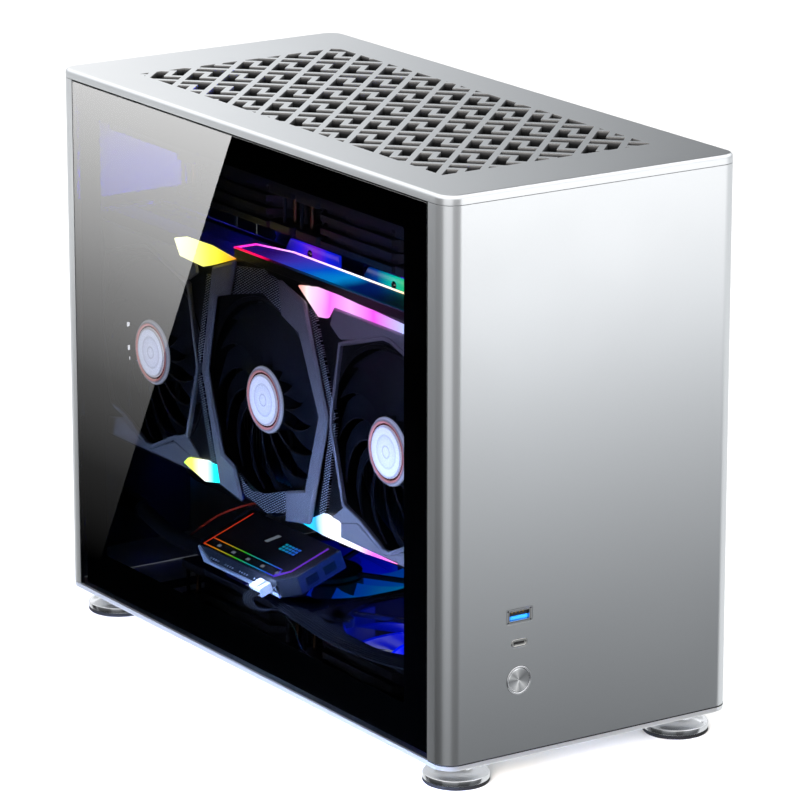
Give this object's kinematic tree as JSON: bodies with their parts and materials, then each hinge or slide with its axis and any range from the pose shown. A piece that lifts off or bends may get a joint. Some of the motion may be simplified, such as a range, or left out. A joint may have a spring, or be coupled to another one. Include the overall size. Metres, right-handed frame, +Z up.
{
  "type": "desktop computer tower",
  "caption": "Compact silver metal desktop computer tower with a glass side, patterned top grille, round feet, front ports and a lit graphics card inside",
  "frame": {"origin": "under the middle of the case, on the surface that the feet stand on", "axes": "+Z up, -Y to the front with the power button, -X to the glass side"},
  "size_m": [0.183, 0.3843, 0.3153],
  "materials": {
    "satin_aluminium": "bead-blasted satin anodised silver",
    "polished_aluminium": "polished and clear anodised",
    "foot_rubber": "matt black moulded rubber",
    "side_glass": "tinted tempered glass, black border printed on the inner face",
    "black_steel": "black powder-coated sheet steel",
    "bright_steel": "plated sheet steel",
    "black_plastic": "moulded black plastic",
    "fan_blades": "moulded dark grey plastic",
    "circuit_board": "black solder mask",
    "memory_spreader": "black anodised heat spreader",
    "fin_aluminium": "bare stamped aluminium fins",
    "gunmetal_shroud": "fine-textured gunmetal paint",
    "light_guide": "lit translucent acrylic",
    "cable_sleeve": "black woven sleeve or ribbon jacket"
  },
  "bodies": {
    "case": {"base_plate": "satin_aluminium", "front_panel": "satin_aluminium", "rear_panel": "satin_aluminium", "foot_front_left": "polished_aluminium", "foot_front_right": "polished_aluminium", "foot_rear_left": "polished_aluminium", "foot_rear_right": "polished_aluminium", "power_button_bezel": "polished_aluminium", "foot_pad_front_left": "foot_rubber", "foot_pad_front_right": "foot_rubber", "foot_pad_rear_left": "foot_rubber", "foot_pad_rear_right": "foot_rubber", "roof_rail_left": "black_steel", "roof_rail_right": "black_steel", "motherboard_tray": "black_steel", "psu_bracket": "black_steel", "psu_case": "black_steel", "usb_a_port": "bright_steel", "usb_c_port": "bright_steel", "rear_port_stack": "bright_steel", "io_shield": "bright_steel", "gpu_slot_bracket": "bright_steel", "power_switch_body": "black_plastic", "top_fan_frame_front": "black_plastic", "top_fan_frame_rear": "black_plastic", "bottom_fan_frame_front": "black_plastic", "bottom_fan_frame_rear": "black_plastic", "cooler_fan_frame": "black_plastic", "mains_inlet": "black_plastic", "controller_box": "black_plastic", "motherboard": "circuit_board", "front_io_board": "circuit_board", "gpu_circuit_board": "circuit_board", "memory_module_1": "memory_spreader", "memory_module_2": "memory_spreader", "cooler_heatsink": "fin_aluminium", "gpu_heatsink": "fin_aluminium", "gpu_shroud": "gunmetal_shroud", "gpu_backplate": "gunmetal_shroud", "gpu_light_bar": "light_guide", "mains_lead": "cable_sleeve", "front_io_cable": "cable_sleeve", "controller_loom": "cable_sleeve", "riser_ribbon": "cable_sleeve"},
    "power_button": {"power_button_cap": "polished_aluminium"},
    "glass_side": {"glass_panel": "side_glass", "glass_carrier_front": "black_steel", "glass_carrier_rear": "black_steel"},
    "right_side": {"right_panel": "satin_aluminium"},
    "top_lid": {"top_cover": "satin_aluminium"},
    "psu_rocker": {"psu_rocker_switch": "black_plastic"},
    "gpu_fan_front": {"gpu_fan_rotor_front": "fan_blades"},
    "gpu_fan_middle": {"gpu_fan_rotor_middle": "fan_blades"},
    "gpu_fan_rear": {"gpu_fan_rotor_rear": "fan_blades"},
    "top_fan_front": {"top_fan_rotor_front": "fan_blades"},
    "top_fan_rear": {"top_fan_rotor_rear": "fan_blades"},
    "bottom_fan_front": {"bottom_fan_rotor_front": "fan_blades"},
    "bottom_fan_rear": {"bottom_fan_rotor_rear": "fan_blades"},
    "cooler_fan": {"cooler_fan_rotor": "fan_blades"},
    "psu_fan": {"psu_fan_rotor": "fan_blades"}
  },
  "joints": [
    {"name": "power_button_press", "type": "slide", "parent": "case", "child": "power_button", "axis": [0, 1, 0], "range_m": [0, 0.001], "stiffness_N_per_m": 400},
    {"name": "glass_pull_off", "type": "slide", "parent": "case", "child": "glass_side", "axis": [-1, 0, 0], "range_m": [0, 0.12]},
    {"name": "right_panel_pull_off", "type": "slide", "parent": "case", "child": "right_side", "axis": [1, 0, 0], "range_m": [0, 0.12]},
    {"name": "top_cover_lift", "type": "slide", "parent": "case", "child": "top_lid", "axis": [0, 0, 1], "range_m": [0, 0.1]},
    {"name": "psu_rocker_tilt", "type": "hinge", "parent": "case", "child": "psu_rocker", "pos_m": [0.018, -0.1, 0.128], "axis": [1, 0, 0], "range_deg": [0, 20]},
    {"name": "gpu_fan_front_spin", "type": "hinge", "parent": "case", "child": "gpu_fan_front", "pos_m": [-0.0795, -0.1195, 0.1655], "axis": [1, 0, 0], "continuous": true},
    {"name": "gpu_fan_middle_spin", "type": "hinge", "parent": "case", "child": "gpu_fan_middle", "pos_m": [-0.0795, 0, 0.1655], "axis": [1, 0, 0], "continuous": true},
    {"name": "gpu_fan_rear_spin", "type": "hinge", "parent": "case", "child": "gpu_fan_rear", "pos_m": [-0.0795, 0.1175, 0.1655], "axis": [1, 0, 0], "continuous": true},
    {"name": "top_fan_front_spin", "type": "hinge", "parent": "case", "child": "top_fan_front", "pos_m": [0, -0.061, 0.252], "axis": [0, 0, 1], "continuous": true},
    {"name": "top_fan_rear_spin", "type": "hinge", "parent": "case", "child": "top_fan_rear", "pos_m": [0, 0.061, 0.252], "axis": [0, 0, 1], "continuous": true},
    {"name": "bottom_fan_front_spin", "type": "hinge", "parent": "case", "child": "bottom_fan_front", "pos_m": [0, -0.061, 0.0163], "axis": [0, 0, 1], "continuous": true},
    {"name": "bottom_fan_rear_spin", "type": "hinge", "parent": "case", "child": "bottom_fan_rear", "pos_m": [0, 0.061, 0.0163], "axis": [0, 0, 1], "continuous": true},
    {"name": "cooler_fan_spin", "type": "hinge", "parent": "case", "child": "cooler_fan", "pos_m": [0.014, 0.09, 0.185], "axis": [1, 0, 0], "continuous": true},
    {"name": "psu_fan_spin", "type": "hinge", "parent": "case", "child": "psu_fan", "pos_m": [0.0535, -0.1285, 0.1865], "axis": [1, 0, 0], "continuous": true}
  ]
}
